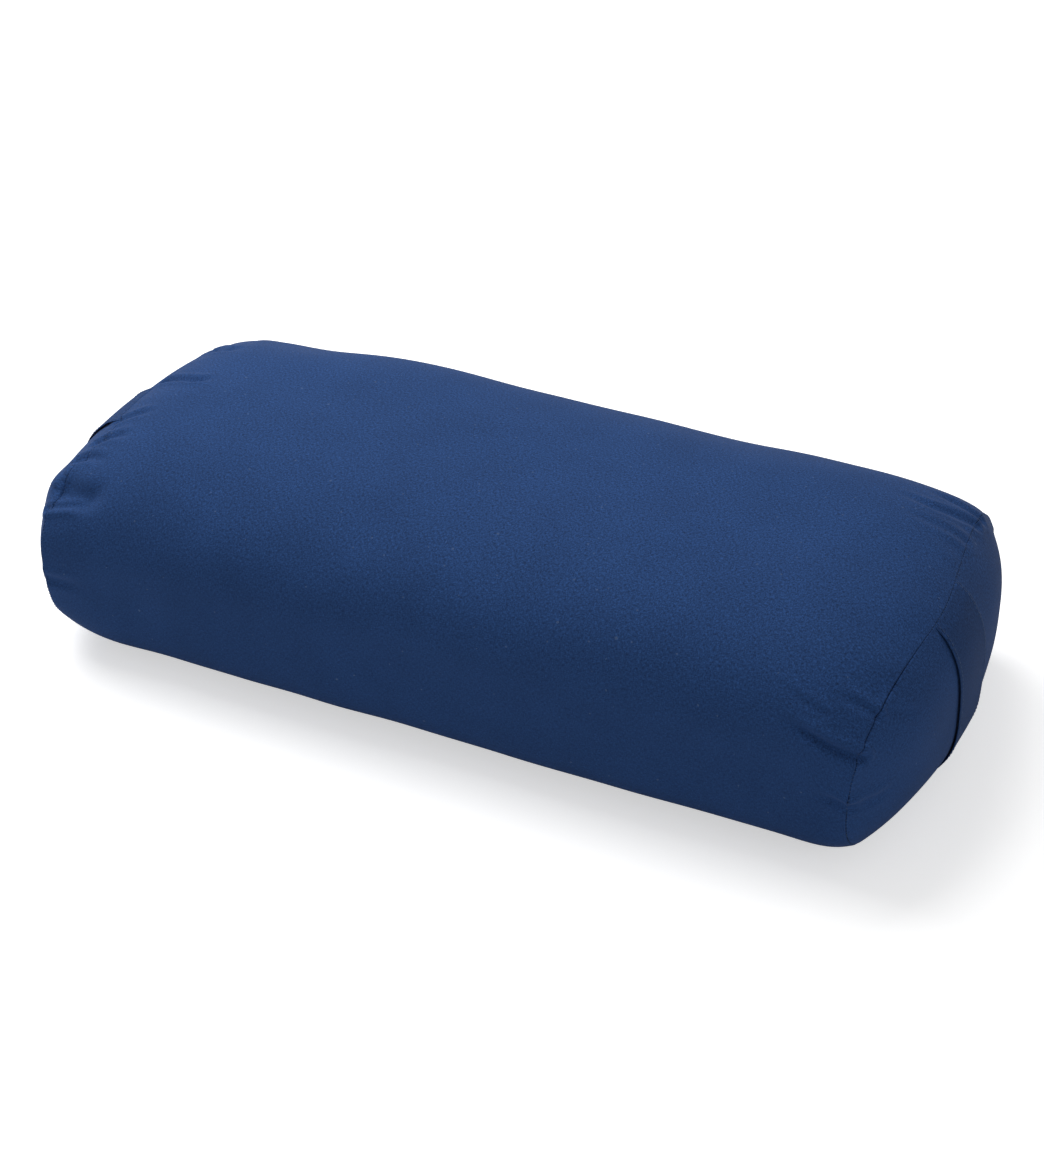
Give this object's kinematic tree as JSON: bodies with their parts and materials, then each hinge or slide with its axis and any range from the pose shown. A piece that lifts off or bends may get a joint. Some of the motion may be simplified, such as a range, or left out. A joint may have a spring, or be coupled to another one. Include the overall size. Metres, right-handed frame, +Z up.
{
  "type": "bolster pillow",
  "caption": "Rectangular stuffed bolster pillow with a zip-off fabric cover and flat carry straps, for massage tables and yoga practice.",
  "frame": {"origin": "the middle of the underside, on the surface that the bolster lies on", "axes": "+X along the length towards the right end panel, +Y across the width towards the long side with the zip, +Z up"},
  "size_m": [0.65, 0.2995, 0.157],
  "materials": {
    "cover_cloth": "matte",
    "strap_cloth": "matte",
    "zip_tape": "matte",
    "zip_coil": "satin",
    "zip_metal": "satin",
    "liner_cloth": "matte",
    "batting": "matte"
  },
  "bodies": {
    "bolster": {"cover_wrap_panel": "cover_cloth", "cover_end_panel_right": "cover_cloth", "cover_end_panel_left": "cover_cloth", "carry_strap_right_upper_leg": "strap_cloth", "carry_strap_right_lower_leg": "strap_cloth", "carry_strap_left_upper_leg": "strap_cloth", "carry_strap_left_lower_leg": "strap_cloth", "zip_tape_upper": "zip_tape", "zip_tape_lower": "zip_tape", "zip_coil_upper": "zip_coil", "zip_coil_lower": "zip_coil", "zip_bottom_stop": "zip_metal", "zip_top_stops": "zip_metal", "liner_wrap_panel": "liner_cloth", "liner_end_panel_right": "liner_cloth", "liner_end_panel_left": "liner_cloth", "fill_batting_layer_1": "batting", "fill_batting_layer_2": "batting", "fill_batting_layer_3": "batting", "fill_batting_layer_4": "batting", "fill_batting_layer_5": "batting"},
    "strap_grip_right": {"carry_strap_right_grip": "strap_cloth"},
    "strap_grip_left": {"carry_strap_left_grip": "strap_cloth"},
    "zip_slider": {"zip_slider_body": "zip_metal"},
    "zip_pull": {"zip_pull_tab": "zip_metal"}
  },
  "joints": [
    {"name": "strap_right_lift", "type": "slide", "parent": "bolster", "child": "strap_grip_right", "axis": [1, 0, 0], "range_m": [0, 0.028], "deforming": ["carry_strap_right_upper_leg", "carry_strap_right_lower_leg"]},
    {"name": "strap_left_lift", "type": "slide", "parent": "bolster", "child": "strap_grip_left", "axis": [-1, 0, 0], "range_m": [0, 0.028], "deforming": ["carry_strap_left_upper_leg", "carry_strap_left_lower_leg"]},
    {"name": "zip_slider_travel", "type": "slide", "parent": "bolster", "child": "zip_slider", "axis": [-1, 0, 0], "range_m": [0, 0.462]},
    {"name": "zip_pull_swing", "type": "hinge", "parent": "zip_slider", "child": "zip_pull", "pos_m": [0.231, 0.14995, 0.058], "axis": [0, 0, -1], "range_deg": [0, 180]}
  ]
}
